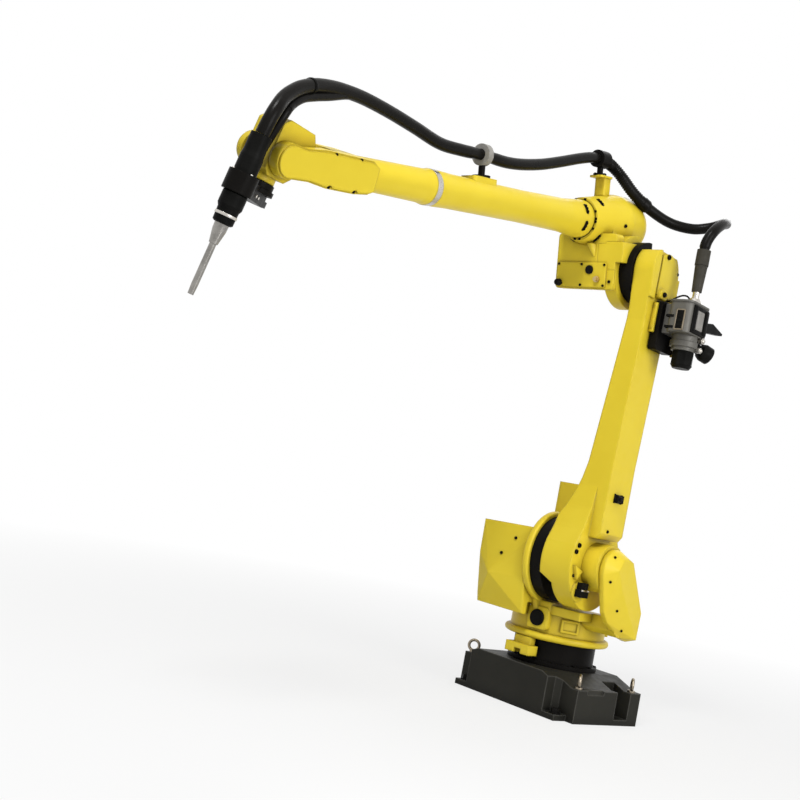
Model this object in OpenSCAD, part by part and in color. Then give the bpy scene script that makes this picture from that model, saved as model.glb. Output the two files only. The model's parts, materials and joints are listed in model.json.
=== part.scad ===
// Six-axis industrial robot arm with welding torch, wire feeder and dress hose, on a riser block.
// Frame: +Z up, origin on the floor under the first axis, in the riser's underside.
// +X is the riser's front, +Y its left side as the robot faces.

/* [Riser] */
// Width of the riser block from side to side
riser_w = 640; // [630:5:700]
// Depth of the riser block from front to back
riser_d = 428; // [410:2:450]
// Height of the riser block under the column
riser_h = 164; // [154:2:174]
// Radius of an anchor hole
anchor_r = 11; // [8:0.5:13]

/* [Arm lengths] */
// Forward offset of the second axis from the first
shoulder_out = 165; // [155:5:180]
// Height of the second axis above the floor
shoulder_h = 580; // [570:5:600]
// Distance from the second axis to the third
arm_len = 1150; // [1100:10:1250]
// Height of the forearm's centreline above the third axis
elbow_up = 190; // [185:5:200]
// Distance along the forearm from the third axis to the fifth
wrist_out = 1800; // [1790:5:1840]
// Distance from the fifth axis to the tool flange's face
flange_out = 100; // [98:1:106]

/* [Pose as built] */
// Turn of the turret to the left
turret_turn = 11; // [-30:1:30]
// Lean of the lower arm forwards
arm_lean = -1; // [-5:1:5]
// Dip of the forearm below level
forearm_dip = 10; // [5:1:15]
// Roll of the forearm, left side down
forearm_roll = 15; // [10:1:20]
// Bend of the wrist downwards
wrist_bend = 76; // [72:1:80]
// Swing of the torch about the tool flange
torch_swing = 34; // [30:1:42]

/* [Castings] */
// Radius of the shoulder drum
drum_r = 179; // [174:1:184]
// Radius of the lower arm's hub
hub_r = 171; // [165:1:175]
// Radius of the lower arm's top end
arm_top_r = 105; // [103:1:112]
// Half width of the lower arm between its ends
arm_half = 82; // [78:1:92]
// Radius of the elbow housing's barrel
barrel_r = 120; // [116:1:122]
// Radius of the forearm tube at its root
root_r = 73; // [70:1:76]
// Radius of the forearm tube at its roll joint
ring_r = 60; // [58:1:62]

/* [Dress hose] */
// Outer radius of the hose
hose_r = 19; // [17:1:21]

/* [Hidden] */
$fn = 64;
gap = 2;
yellow = [0.93, 0.80, 0.18];
black = [0.07, 0.07, 0.07];
charcoal = [0.19, 0.18, 0.16];
steel = [0.72, 0.71, 0.69];
brass = [0.75, 0.62, 0.35];
grey = [0.50, 0.48, 0.44];

// Riser and first axis, heights from the floor
riser_front = 236;
riser_back = riser_front - riser_d;
end_h = riser_h - 38;
eye_x = 150;
eye_y = 299;
eye_r = 21;
eye_wire_r = 6;
eye_collar_r = 15;
eye_collar_h = 8;
foot_h = 22;
anchor_front = 204;
anchor_back = -88;
anchor_y = 254;
foot_y = 280;
column_r = 162;
flange_r = 208;
flange_z = 262;
flange_h = 28;
band_r = 188;
band_top = 372;
motor_shelf = 450;
motor_top = 884;
plug_z = 344;
stop_z = 194;

// Lateral planes of the shoulder and lower arm, from the robot's middle plane
drum_back = 4;
drum_face = 31;
hub_in = 84;
hub_out = 215;
tube_r = 93;
tube_seam = 285;
bridge_out = 345;
arm_mid_in = 154;
arm_mid_out = 263;
arm_mid_z = 390;
arm_foot_z = 107;
arm_top_in = 205;
arm_top_out = 281;
skirt_back = 96;
skirt_face = 148;
skirt_r = 145;
elbow_seal_r = 120;
box_front = 150;
panel_t = 6;
stop_low = [40, 100, -160];
stop_high = [box_front, 178, -82];

// Forearm stations along its centreline, from the plane of the third axis
housing_back = -160;
housing_round = 75;
root_x = 199;
clamp_x = 825;
clamp_z = 148;
clamp_w = 26;
saddle_x = 80;
saddle_z = 246;
saddle_w = 58;
ring_x = 1105;
ring_w = 26;
fork_x = 1450;
throat_x = 1600;
prong_in = 62;
prong_out = 98;
prong_far = 84;
prong_r = 47;
cover_t = 8;
torch_off = 160;
torch_r = 33.5;
clamp_r = 38;
lead_r = 14;
lead_off = 62;
post_top = 182;
slot = [16, 38, 14];
feeder_x = -40;
feeder_y = 405;
feeder_low = 921;
feeder_high = 1043;
gear_low = 862;
sleeve_low = 1095;
sleeve_mid = 1198;
sleeve_high = 1259;

// Frames of the moving bodies, as built
module at_turret() {
    rotate([0, 0, turret_turn]) children();
}

module at_shoulder() {
    at_turret() translate([shoulder_out, 0, shoulder_h]) rotate([0, arm_lean, 0]) children();
}

module at_elbow() {
    at_shoulder() translate([0, 0, arm_len]) rotate([0, forearm_dip - arm_lean, 0]) children();
}

module at_forearm() {
    at_elbow() translate([0, 0, elbow_up]) children();
}

module at_fork() {
    at_forearm() rotate([-forearm_roll, 0, 0]) children();
}

module at_wrist() {
    at_fork() translate([wrist_out, 0, 0]) children();
}

module at_tool() {
    at_wrist() rotate([0, wrist_bend, 0]) children();
}

// The torch's own line, parallel to the sixth axis
module at_torch() {
    at_tool() rotate([-torch_swing, 0, 0]) translate([0, 0, torch_off]) children();
}

// A cylinder along Y from one lateral plane to another
module across(radius, from, to) {
    translate([0, to, 0]) rotate([90, 0, 0]) cylinder(r = radius, h = to - from);
}

// A cylinder or cone along X
module along(radius, from, to, end_radius = undef) {
    translate([from, 0, 0]) rotate([0, 90, 0])
        cylinder(r1 = radius, r2 = is_undef(end_radius) ? radius : end_radius, h = to - from);
}

// A body turned about X from a profile of [x, radius] points, closed along the axis
module turned(profile) {
    last = profile[len(profile) - 1];
    rotate([0, 90, 0]) rotate_extrude()
        polygon(concat([[0, profile[0].x]], [for (p = profile) [p.y, p.x]], [[0, last.x]]));
}

// A block given by its low and high corners
module block(low, high) {
    translate(low) cube(high - low);
}

// Lateral extrusion of an outline drawn in the X-Z plane
module plate(from, to) {
    translate([0, to, 0]) rotate([90, 0, 0]) linear_extrude(to - from) children();
}

// Lengthwise extrusion of an outline drawn in the Y-Z plane
module bar(from, to) {
    translate([from, 0, 0]) rotate([90, 0, 90]) linear_extrude(to - from) children();
}

// Rectangle with round corners, given by its low and high corners
module rounded(low, high, r) {
    translate([low.x + r, low.y]) square([high.x - low.x - 2 * r, high.y - low.y]);
    translate([low.x, low.y + r]) square([high.x - low.x, high.y - low.y - 2 * r]);
    for (x = [low.x + r, high.x - r], y = [low.y + r, high.y - r])
        translate([x, y]) circle(r = r);
}

// Vectors for the hose
function unit(v) = v / norm(v);
function tangent(p, i) = unit(p[min(i + 1, len(p) - 1)] - p[max(i - 1, 0)]);
function next_side(side, t) = unit(side - (side * t) * t);
function sides_of(p, i = 0, side = [0, 1, 0]) =
    i >= len(p) ? [] :
    let (s = next_side(side, tangent(p, i))) concat([s], sides_of(p, i + 1, s));

// A point on the smooth curve through four neighbours
function curve_point(a, b, c, d, t) =
    0.5 * (2 * b + (c - a) * t + (2 * a - 5 * b + 4 * c - d) * t * t
        + (3 * b - a - 3 * c + d) * t * t * t);
function smooth_route(p, steps) = [
    for (i = [0 : len(p) - 2], k = [0 : steps - 1])
        curve_point(p[max(i - 1, 0)], p[i], p[i + 1], p[min(i + 2, len(p) - 1)], k / steps),
    p[len(p) - 1]];

// A round tube swept along a route
module hose(points, radius, sides = 10) {
    n = len(points);
    side = sides_of(points);
    ring_points = [for (i = [0 : n - 1], k = [0 : sides - 1])
        let (t = tangent(points, i), up = cross(t, side[i]), a = 360 * k / sides)
        points[i] + radius * (cos(a) * side[i] + sin(a) * up)];
    walls = [for (i = [0 : n - 2], k = [0 : sides - 1])
        [i * sides + k, (i + 1) * sides + k, (i + 1) * sides + (k + 1) % sides,
            i * sides + (k + 1) % sides]];
    start_cap = [[for (k = [0 : sides - 1]) k]];
    end_cap = [[for (k = [sides - 1 : -1 : 0]) (n - 1) * sides + k]];
    polyhedron(ring_points, concat(walls, start_cap, end_cap), convexity = 8);
}

// Hose routes: the front one from the saddle to the torch in the forearm's frame, the rear one from
// behind the saddle to the feeder in the lower arm's frame
hose_front_route = [[50, 0, 246], [80, 0, 246], [112, 0, 246], [160, 0, 241], [240, 0, 224], [360, 0, 194],
    [480, 0, 167], [600, 0, 149], [700, 0, 143], [812, 0, 148], [838, 0, 148], [940, 0, 146], [1059, 0, 150],
    [1198, 8, 178], [1332, 18, 202], [1463, 32, 218], [1565, 46, 221], [1640, 58, 217], [1712, 71, 206],
    [1782, 85, 184], [1846, 100, 148], [1888, 113, 108], [1911, 112, 70], [1923, 101, 31]];
hose_rear_route = [[124, 1, 1566], [80, 7, 1560], [44, 30, 1533], [13, 82, 1472], [-62, 122, 1430],
    [-150, 172, 1402], [-211, 240, 1396], [-244, 300, 1411], [-243, 350, 1424], [-208, 385, 1416],
    [-131, 410, 1389], [-62, 418, 1340], [-40, 408, 1290], [-40, 405, 1240], [-40, 405, 1150]];

// Riser block: raised middle with ramps to its ends, and notches over drilled feet
module riser_block() {
    half = riser_w / 2;
    ramp_high = 180;
    ramp_low = 285;
    notch_x = 172;
    notch_y = 216;
    slant = 20;
    end_notch = [76, 92];
    color(charcoal) difference() {
        intersection() {
            linear_extrude(riser_h) rounded([riser_back, -half], [riser_front, half], 12);
            bar(riser_back, riser_front) polygon([[-half, 0], [-half, end_h], [-ramp_low, end_h],
                [-ramp_high, riser_h], [ramp_high, riser_h], [ramp_low, end_h], [half, end_h], [half, 0]]);
        }
        for (s = [0, 1]) mirror([0, s, 0]) translate([0, 0, foot_h]) linear_extrude(riser_h) {
            polygon([[riser_front + 1, notch_y], [notch_x + slant, notch_y], [notch_x, notch_y + slant],
                [notch_x, half + 1], [riser_front + 1, half + 1]]);
            translate([anchor_back - end_notch.x / 2, half - end_notch.y])
                square([end_notch.x, end_notch.y + 1]);
        }
        for (s = [0, 1]) mirror([0, s, 0])
            block([notch_x, foot_y, -1], [riser_front + 1, half + 1, riser_h]);
        for (s = [-1, 1]) translate([72, s * half, end_h + 8]) rotate([45, 0, 0])
            cube([90, 34, 34], center = true);
        for (x = [anchor_back, anchor_front], y = [-anchor_y, anchor_y])
            translate([x, y, -1]) cylinder(r = anchor_r, h = foot_h + 2);
    }
}

// Four lifting eyes: collar and ring
module lifting_eyes() {
    color(steel) for (x = [-1, 1], y = [-1, 1])
        translate([x * eye_x, y * eye_y, end_h]) {
            cylinder(r = eye_collar_r, h = eye_collar_h);
            face_turn = x > y ? 135 : 45;
            translate([0, 0, eye_collar_h + eye_r]) rotate([90, 0, face_turn])
                rotate_extrude() translate([eye_r, 0]) circle(r = eye_wire_r);
        }
}

// Fixed column of the first axis
module axis1_column() {
    color(black) translate([0, 0, riser_h]) {
        cylinder(r = column_r + 16, h = 16);
        cylinder(r = column_r, h = flange_z - riser_h - gap);
    }
}

// Turning casing: rimmed flange, band with raised frames, neck and shoulder drum
module turret_casing() {
    color(yellow) at_turret() {
        translate([0, 0, flange_z]) rotate_extrude() {
            square([flange_r - flange_h / 2, flange_h]);
            translate([flange_r - flange_h / 2, flange_h / 2]) circle(r = flange_h / 2);
        }
        translate([0, 0, flange_z]) cylinder(r = band_r, h = band_top - flange_z);
        for (a = [46, 134, -134]) rotate([0, 0, a]) band_frame();
        shoulder_neck();
        shoulder_drum();
        bar(100, 204) rounded([-16, plug_z - 42], [76, plug_z + 44], 14);
    }
}

// Raised frame on the band
module band_frame() {
    half = 36;
    low = flange_z + flange_h + 16;
    high = band_top - 16;
    rim = 9;
    difference() {
        block([band_r - 12, -half, low], [band_r + 8, half, high]);
        block([band_r + 2, rim - half, low + rim], [band_r + 10, half - rim, high - rim]);
    }
}

// Web between the band and the drum, shelf of the first motor and sill under the hub
module shoulder_neck() {
    low = band_top - 5;
    plate(drum_back, drum_face - 6)
        polygon([[-12, low], [-12, shoulder_h], [shoulder_out + drum_r - 4, shoulder_h], [306, low + 105],
            [230, low + 49], [200, low]]);
    block([-160, -128, low], [-14, 8, motor_shelf]);
    block([10, drum_back, low], [190, 205, band_top + 28]);
    block([120, drum_back, low], [200, 76, band_top + 40]);
}

// Rimmed drum of the second axis
module shoulder_drum() {
    drum_w = drum_face - drum_back;
    translate([shoulder_out, drum_face, shoulder_h]) rotate([90, 0, 0]) rotate_extrude() {
        square([drum_r - 8, drum_w]);
        translate([0, 8]) square([drum_r, drum_w - 16]);
        for (y = [8, drum_w - 8]) translate([drum_r - 8, y]) circle(r = 8);
    }
}

// Stop lug under the turret's flange
module travel_stop() {
    color(yellow) at_turret() rotate([0, 0, -6]) difference() {
        union() {
            block([column_r + 10, -40, stop_z + 30], [flange_r - 6, 40, flange_z]);
            block([column_r + 8, -62, stop_z], [flange_r + 16, 56, stop_z + 38]);
        }
        block([column_r + 30, -16, stop_z - 1], [flange_r + 20, 16, stop_z + 18]);
    }
}

// Round plug in the front boss
module front_plug() {
    color(black) at_turret() translate([0, 30, plug_z]) turned([[204, 31], [210, 31], [213, 28]]);
}

// Cover of the first axis's motor
module axis1_motor_cover() {
    color(yellow) at_turret() translate([0, 0, motor_shelf])
        linear_extrude(motor_top - motor_shelf) rounded([-160, -128], [-14, 8], 14);
}

// Faceted cover of the second axis's motor, drawn over its corners
module axis2_motor_cover() {
    at_drum = [[142, 103], [146, 60], [137, -94], [107, -231], [-100, -240], [-140, -180], [-140, 50],
        [-90, 100]];
    front = [[140, -225, 98], [144, -60, 49], [153, -150, -68], [165, -150, -101], [150, -215, -30],
        [115, -215, -176], [108, -215, -224]];
    far_end = [[52, 60], [66, -40], [40, -200], [-90, -200], [-90, 60]];
    color(yellow) at_turret() difference() {
        translate([shoulder_out, 0, shoulder_h]) hull() {
            for (p = at_drum) translate([p.x, drum_back - 1, p.y]) cube(1);
            for (p = front) translate(p) cube(1);
            for (p = far_end) translate([p.x, -272, p.y]) cube(1);
        }
        cylinder(r = band_r + 1, h = band_top + 21);
        block([90, -24, 0], [250, 10, plug_z + 52]);
    }
}

// Cover that carries the cables from the turret to the lower arm's hollow axis
module cable_bridge() {
    color(yellow) at_turret() difference() {
        union() {
            translate([shoulder_out, 0, shoulder_h]) hull() {
                plate(tube_seam + gap, tube_seam + gap + 18) bridge_back();
                plate(bridge_out - 1, bridge_out)
                    polygon([[35, 6], [10, 46], [-17, 53], [-60, 42], [-97, -19], [-183, -144], [-178, -247],
                        [-11, -65]]);
            }
            plate(60, tube_seam + 24)
                polygon([[-20, band_top - 47], [70, band_top - 40], [100, band_top - 20],
                    [100, band_top + 30], [-20, band_top + 30]]);
        }
        cylinder(r = band_r, h = band_top);
        block([-30, -10, band_top - 6], [191, 206, band_top + 60]);
    }
}

// Outline of the cable bridge's inner side
module bridge_back() {
    circle(r = 80, $fn = 32);
    polygon([[60, -52], [24, -160], [-10, -195], [-110, -247], [-170, -262], [-228, -150], [-120, 32],
        [0, 80]]);
}

// Seal between the shoulder drum and the hub
module shoulder_seal() {
    color(black) at_turret() translate([shoulder_out, 0, shoulder_h])
        across(drum_r - 16, drum_face, hub_in - gap);
}

// Lower arm: flared hub plate and straight outer box, both crossed with the front outline
module lower_arm() {
    color(yellow) at_shoulder() difference() {
        union() {
            intersection() {
                union() {
                    plate(hub_in, hub_out) hub_flare();
                    plate(hub_in, arm_top_out) arm_side();
                }
                bar(-2 * hub_r, 2 * hub_r) arm_front();
            }
            intersection() {
                plate(arm_top_out - 1, arm_top_out + 9) arm_side();
                block([58, 0, 1040], [2 * hub_r, 2 * arm_top_out, arm_len + arm_top_r]);
            }
            translate([90, 0, -100]) across(40, hub_out - 1, hub_out + 8);
            plate(hub_out - 1, hub_out + 14) polygon([[152, -6], [96, -24], [128, -58]]);
        }
        bar(-2 * hub_r, 2 * hub_r) hub_step();
    }
}

// Side outline of the hub, with the curved flare that leads up from it
module hub_flare() {
    circle(r = hub_r);
    for (s = [-1, 1]) polygon([[0, 0], [s * 165, 45], [s * 158, 69], [s * 123, 133], [s * 96, 210],
        [s * arm_half, 300], [0, 300]]);
}

// Side outline of the straight arm and its round top, which is cut flat
module arm_side() {
    intersection() {
        translate([0, arm_len]) circle(r = arm_top_r);
        translate([-arm_top_r, arm_len - arm_top_r]) square([2 * arm_top_r, arm_top_r + 78]);
    }
    polygon([[-arm_half, arm_foot_z], [-arm_half, 950], [-arm_top_r, arm_len], [arm_top_r, arm_len],
        [arm_half, 950], [arm_half, arm_foot_z]]);
}

// Front outline of the arm, which leans outwards as it rises
module arm_front() {
    polygon([[hub_in, -200], [hub_out, -200], [hub_out, arm_foot_z], [arm_mid_out - 16, arm_foot_z],
        [arm_mid_out, arm_foot_z + 22], [arm_mid_out, arm_mid_z], [arm_top_out, 1040], [arm_top_out, 1300],
        [arm_top_in, 1300], [arm_top_in, 1000], [arm_mid_in, arm_mid_z], [140, 325], [122, 268], [102, 215],
        [hub_in, 170]]);
}

// Step in the hub's inner side, which shows the seal below the second axis
module hub_step() {
    polygon([[hub_in - 5, -57], [hub_in, -57], [134, -87], [134, -200], [hub_in - 5, -200]]);
}

// Hollow axis that leads the cables into the hub
module cable_tube() {
    color(yellow) at_shoulder() across(tube_r, hub_out, tube_seam);
}

// Plug on the hub's lower boss
module hub_connector() {
    color(black) at_shoulder() translate([88, 0, -94]) plate(hub_out + 8, hub_out + 32) {
        translate([-20, 2]) square([40, 26]);
        translate([-30, -26]) square([58, 28]);
    }
}

// Seal between the elbow and the lower arm
module elbow_seal() {
    color(black) at_forearm() difference() {
        elbow_skirt(elbow_seal_r, skirt_face, arm_top_in - gap);
        block(stop_low, stop_high);
    }
}

// Bolted cover over the third axis, with a lug at its foot
module elbow_cover() {
    color(yellow) at_shoulder() {
        plate(arm_top_out, arm_top_out + 10) intersection() {
            union() {
                translate([0, arm_len]) circle(r = arm_top_r - 28);
                translate([4 - arm_top_r, 1060]) square([200, arm_len - 1060]);
            }
            translate([-200, 1000]) square([248, 300]);
        }
        plate(arm_top_out, arm_top_out + 22) rounded([-10, 1046], [44, 1084], 12);
    }
}

// Plate that carries the wire feeder
module feeder_plate() {
    color(black) at_shoulder() plate(arm_top_out, arm_top_out + 34) rounded([-100, 852], [30, 1040], 12);
}

// Wire feeder housing with a narrow neck to its plate, a rounded body and a lid
module feeder_housing() {
    neck = 352;
    side = 446;
    color(grey) at_shoulder() {
        translate([0, 0, feeder_low]) linear_extrude(feeder_high - feeder_low - 8) {
            rounded([-98, neck], [55, side], 26);
            translate([-98, arm_top_out + 34]) square([103, neck - arm_top_out]);
        }
        translate([0, 0, feeder_high - 8]) linear_extrude(8) rounded([-102, neck - 4], [59, side + 4], 28);
    }
}

// Fitting on the feeder's top
module feeder_inlet() {
    color(steel) at_shoulder() translate([feeder_x, feeder_y, feeder_high]) {
        cylinder(r1 = 34, r2 = 18, h = 26);
        cylinder(r = 13, h = sleeve_low - feeder_high);
    }
}

// Round gearbox below the feeder housing, in stepped rings
module feeder_gearbox() {
    color(grey) at_shoulder() translate([-34, 395, 0]) {
        translate([0, 0, gear_low]) cylinder(r = 44, h = 14);
        translate([0, 0, gear_low + 14]) cylinder(r = 52, h = 22);
        translate([0, 0, gear_low + 36]) cylinder(r = 48, h = feeder_low - gear_low - 36);
    }
}

// Drive motor below the gearbox
module feeder_motor() {
    motor_h = 66;
    color(black) at_shoulder() translate([-40, 397, gear_low - motor_h]) {
        cylinder(r1 = 32, r2 = 41, h = 14);
        translate([0, 0, 14]) cylinder(r = 41, h = motor_h - 14, $fn = 8);
    }
}

// Pressure knob beside the gearbox
module feeder_knob() {
    color(black) at_shoulder() difference() {
        translate([-70, 415, 892]) rotate([0, 0, 150]) rotate([0, 106, 0]) {
            cylinder(r = 19, h = 40);
            translate([0, 0, 36]) cylinder(r1 = 28, r2 = 34, h = 14);
            translate([0, 0, 50]) cylinder(r = 34, h = 28);
        }
        translate([-34, 395, gear_low]) cylinder(r = 52, h = feeder_low - gear_low);
    }
}

// Pressure lever of the feeder, drawn to a point
module feeder_lever() {
    color(black) at_shoulder() plate(414, 440)
        polygon([[-98, 952], [-98, 990], [-150, 1000], [-238, 980], [-236, 972], [-160, 962]]);
}

// Sleeve and coupling where the hose comes down to the feeder
module hose_sleeve() {
    color(black) at_shoulder() translate([feeder_x, feeder_y, 0]) difference() {
        union() {
            translate([0, 0, sleeve_low]) cylinder(r1 = 19, r2 = hose_r + 5, h = sleeve_mid - sleeve_low);
            translate([0, 0, sleeve_mid]) cylinder(r = hose_r + 7, h = sleeve_high - sleeve_mid);
        }
        translate([0, 0, sleeve_low + 40]) cylinder(r = hose_r + 0.5, h = sleeve_high - sleeve_low);
    }
}

// Elbow housing: egg-shaped barrel along the forearm, skirt around the third axis and the body between
module elbow_housing() {
    color(yellow) at_forearm() difference() {
        union() {
            elbow_barrel();
            elbow_skirt(skirt_r, skirt_back, skirt_face);
            bar(-62, 100) rounded([-96, -elbow_up - 30], [skirt_back, 20], 24);
            elbow_web();
            block(stop_low, stop_high);
        }
        for (a = [40, 140, 220, 320]) rotate([-a, 0, 0]) translate([150, 0, 94]) rotate([0, 18, 0])
            cube(slot, center = true);
    }
}

// Barrel with a round back, which narrows to the forearm's root
module elbow_barrel() {
    widest = -10;
    rotate([0, 90, 0]) rotate_extrude() {
        translate([0, housing_back]) square([barrel_r - housing_round, housing_round]);
        translate([barrel_r - housing_round, housing_back + housing_round])
            intersection() {
                circle(r = housing_round);
                translate([0, -housing_round]) square(housing_round);
            }
        polygon([[0, housing_back + housing_round], [barrel_r, housing_back + housing_round],
            [barrel_r, widest], [root_r + 10, root_x], [0, root_x]]);
    }
}

// Round skirt about the third axis, cut away behind the barrel
module elbow_skirt(radius, from, to) {
    translate([0, 0, -elbow_up]) difference() {
        across(radius, from, to);
        block([-2 * radius, from - 1, 74], [-20, to + 1, 2 * radius]);
    }
}

// Web between the barrel and the skirt
module elbow_web() {
    plate(skirt_back - 30, skirt_face)
        polygon([[-96, -elbow_up], [-50, -110], [60, -76], [box_front, -90], [box_front, -elbow_up]]);
}

// Box of the wrist motors' gearing below the barrel
module elbow_box() {
    color(yellow) at_forearm() difference() {
        bar(100, box_front) rounded([-118, -266], [skirt_face, -50], 16);
        elbow_barrel();
        elbow_skirt(skirt_r, skirt_back, skirt_face + 1);
        elbow_web();
        block(stop_low, stop_high);
    }
}

// Bolted panel on the box's front
module elbow_box_panel() {
    color(yellow) at_forearm() bar(box_front, box_front + panel_t) rounded([-112, -260], [114, -162], 8);
}

// Rubber grommet in the panel
module panel_grommet() {
    face = box_front + panel_t;
    color(black) at_forearm() translate([0, 39, -191]) turned([[face, 17], [face + 4, 17], [face + 7, 12]]);
}

// Breather in the panel
module panel_breather() {
    face = box_front + panel_t;
    color(brass) at_forearm() translate([0, 76, -227])
        turned([[face, 12], [face + 8, 12], [face + 8, 8], [face + 18, 8]]);
}

// Rubber bump stop at the box's corner
module bump_stop() {
    face = box_front + panel_t;
    color(black) at_forearm() translate([0, -97, -244]) turned([[face, 14], [face + 18, 12], [face + 24, 8]]);
}

// Post with a top plate on the elbow
module hose_post() {
    color(yellow) at_forearm() difference() {
        union() {
            linear_extrude(post_top - 8) rounded([30, -24], [76, 24], 8);
            translate([0, 0, post_top - 8]) linear_extrude(8) rounded([28, -30], [108, 30], 8);
        }
        elbow_barrel();
    }
}

// Saddle clamp on the post
module saddle_clamp() {
    color(black) at_forearm() difference() {
        union() {
            translate([saddle_x, 0, post_top]) cylinder(r = 26, h = 8);
            translate([saddle_x, 0, post_top]) cylinder(r = 12, h = saddle_z - post_top);
            translate([0, 0, saddle_z]) along(hose_r + 15, saddle_x - saddle_w / 2, saddle_x + saddle_w / 2);
        }
        translate([0, 0, saddle_z]) along(hose_r + 0.5, saddle_x - saddle_w, saddle_x + saddle_w);
    }
}

// Flared and tapered rear tube of the forearm, with bolt slots at its root
module forearm_tube() {
    color(yellow) at_forearm() {
        difference() {
            turned([[root_x, root_r], [root_x + 20, root_r], [330, 63], [600, 58], [1000, 58],
                [ring_x - ring_w / 2 - 30, ring_r], [ring_x - ring_w / 2, ring_r]]);
            for (a = [62, 118, 242, 298]) rotate([-a, 0, 0]) translate([246, 0, root_r - 1])
                cube(slot, center = true);
        }
        translate([0, 0, 40]) linear_extrude(28) rounded([770, -34], [900, 34], 12);
    }
}

// Stand of the ring clamp on the tube's pad
module ring_clamp_stand() {
    color(black) at_forearm() difference() {
        union() {
            translate([clamp_x, 0, 68]) cylinder(r = 32, h = 9);
            translate([clamp_x, 0, 68]) cylinder(r = 12, h = clamp_z - 68);
        }
        translate([0, 0, clamp_z]) along(clamp_r, clamp_x - 60, clamp_x + 60);
    }
}

// Ring clamp around the hose
module ring_clamp() {
    color(grey) at_forearm() translate([0, 0, clamp_z]) difference() {
        along(clamp_r, clamp_x - clamp_w / 2, clamp_x + clamp_w / 2);
        along(hose_r + 0.5, clamp_x - clamp_w, clamp_x + clamp_w);
    }
}

// Hose from the saddle to the feeder
module hose_rear() {
    color(black) at_shoulder() hose(smooth_route(hose_rear_route, 2), hose_r);
}

// Hose from the saddle through the ring clamp to the torch
module hose_front() {
    color(black) at_forearm() hose(hose_front_route, hose_r);
}

// Bright ring at the roll joint
module roll_ring() {
    color(steel) at_fork() along(ring_r + 1, ring_x - ring_w / 2 + gap, ring_x + ring_w / 2);
}

// Front tube that opens into a fork
module forearm_fork() {
    color(yellow) at_fork() difference() {
        union() {
            turned([[ring_x + ring_w / 2, ring_r], [ring_x + ring_w / 2 + 30, ring_r - 4],
                [fork_x + 40, 49]]);
            plate(-prong_far, prong_out) prong_outline(0);
        }
        plate(-prong_in, prong_in) {
            rounded([throat_x, -70], [wrist_out + 2 * prong_r, 70], 18);
            translate([throat_x + 18, -100]) square([wrist_out + 100 - throat_x, 200]);
        }
    }
}

// Side outline of a prong with a waist before the wrist, drawn in by an inset
module prong_outline(inset) {
    translate([wrist_out + 4, 0]) circle(r = prong_r + 4 - inset);
    polygon([[wrist_out, prong_r + 4 - inset], [1751, 45 - inset], [1672, 53 - inset],
        [fork_x + 30, 51 - inset], [fork_x + inset, 34], [fork_x + inset, -38], [fork_x + 24, inset - 51], [1534, inset - 57],
        [1651, inset - 56], [1722, inset - 47], [wrist_out, inset - prong_r - 2]]);
}

// Bolted covers on the prongs' outer sides
module prong_covers() {
    color(yellow) at_fork() for (s = [-1, 1])
        plate(s > 0 ? prong_out : -prong_far - cover_t, s > 0 ? prong_out + cover_t : -prong_far)
            difference() {
                prong_outline(5);
                for (x = [1534, 1640], z = [-58, 58]) translate([x, z]) circle(r = 14);
            }
}

// Wrist body between the prongs, with slanted corners
module wrist_knuckle() {
    side = prong_in - 5;
    color(yellow) at_tool() {
        plate(-side, side) polygon([[-106, 26], [-88, 46], [46, 46], [62, 30], [62, -40], [18, -84],
            [-30, -97], [-76, -97], [-106, -76]]);
        along(46, 40, flange_out - 20);
    }
}

// Tool flange
module tool_flange() {
    color(black) at_tool() along(50, flange_out - 20 + gap, flange_out);
}

// Bracket from the flange to the clamp around the torch, with a tongue and a socket for the second lead
module torch_bracket() {
    back = flange_out + 46;
    half = 28;
    color(black) difference() {
        union() {
            at_tool() along(56, flange_out, flange_out + 14);
            at_tool() rotate([-torch_swing, 0, 0]) {
                bar(flange_out, back) rounded([-half, -72], [half, torch_off - 20], 12);
                bar(flange_out + 25, back - 3) rounded([3 - half, -112], [half - 3, 20], 12);
            }
            at_torch() along(44, 92, 150);
            at_torch() translate([0, 0, -lead_off]) along(lead_r + 2, flange_out - 8, flange_out + 4);
        }
        at_torch() along(torch_r, 60, 190);
        at_torch() translate([0, 0, -lead_off]) along(lead_r + 0.5, flange_out - 9, flange_out + 12);
    }
}

// Torch body with its hose socket and insulating collar
module torch_body() {
    color(black) at_torch() turned([[-22, 31], [30, 31], [44, torch_r], [150, torch_r], [154, 36], [190, 36],
        [200, 31], [238, 30], [242, 24]]);
}

// Tapered neck
module torch_neck() {
    color(steel) at_torch() turned([[242, 21], [262, 20], [301, 13]]);
}

// Gas nozzle
module torch_nozzle() {
    color(steel) at_torch() turned([[301, 10], [425, 10], [453, 8.5]]);
}

riser_block();
lifting_eyes();
axis1_column();
turret_casing();
travel_stop();
front_plug();
axis1_motor_cover();
axis2_motor_cover();
cable_bridge();
shoulder_seal();
lower_arm();
cable_tube();
hub_connector();
elbow_seal();
elbow_cover();
feeder_plate();
feeder_housing();
feeder_inlet();
feeder_gearbox();
feeder_motor();
feeder_knob();
feeder_lever();
hose_sleeve();
hose_rear();
elbow_housing();
elbow_box();
elbow_box_panel();
panel_grommet();
panel_breather();
bump_stop();
hose_post();
saddle_clamp();
forearm_tube();
ring_clamp_stand();
ring_clamp();
hose_front();
roll_ring();
forearm_fork();
prong_covers();
wrist_knuckle();
tool_flange();
torch_bracket();
torch_body();
torch_neck();
torch_nozzle();
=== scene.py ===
import json
import math

import bmesh
import bpy
from mathutils import Matrix, Vector
from mathutils.bvhtree import BVHTree


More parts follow.
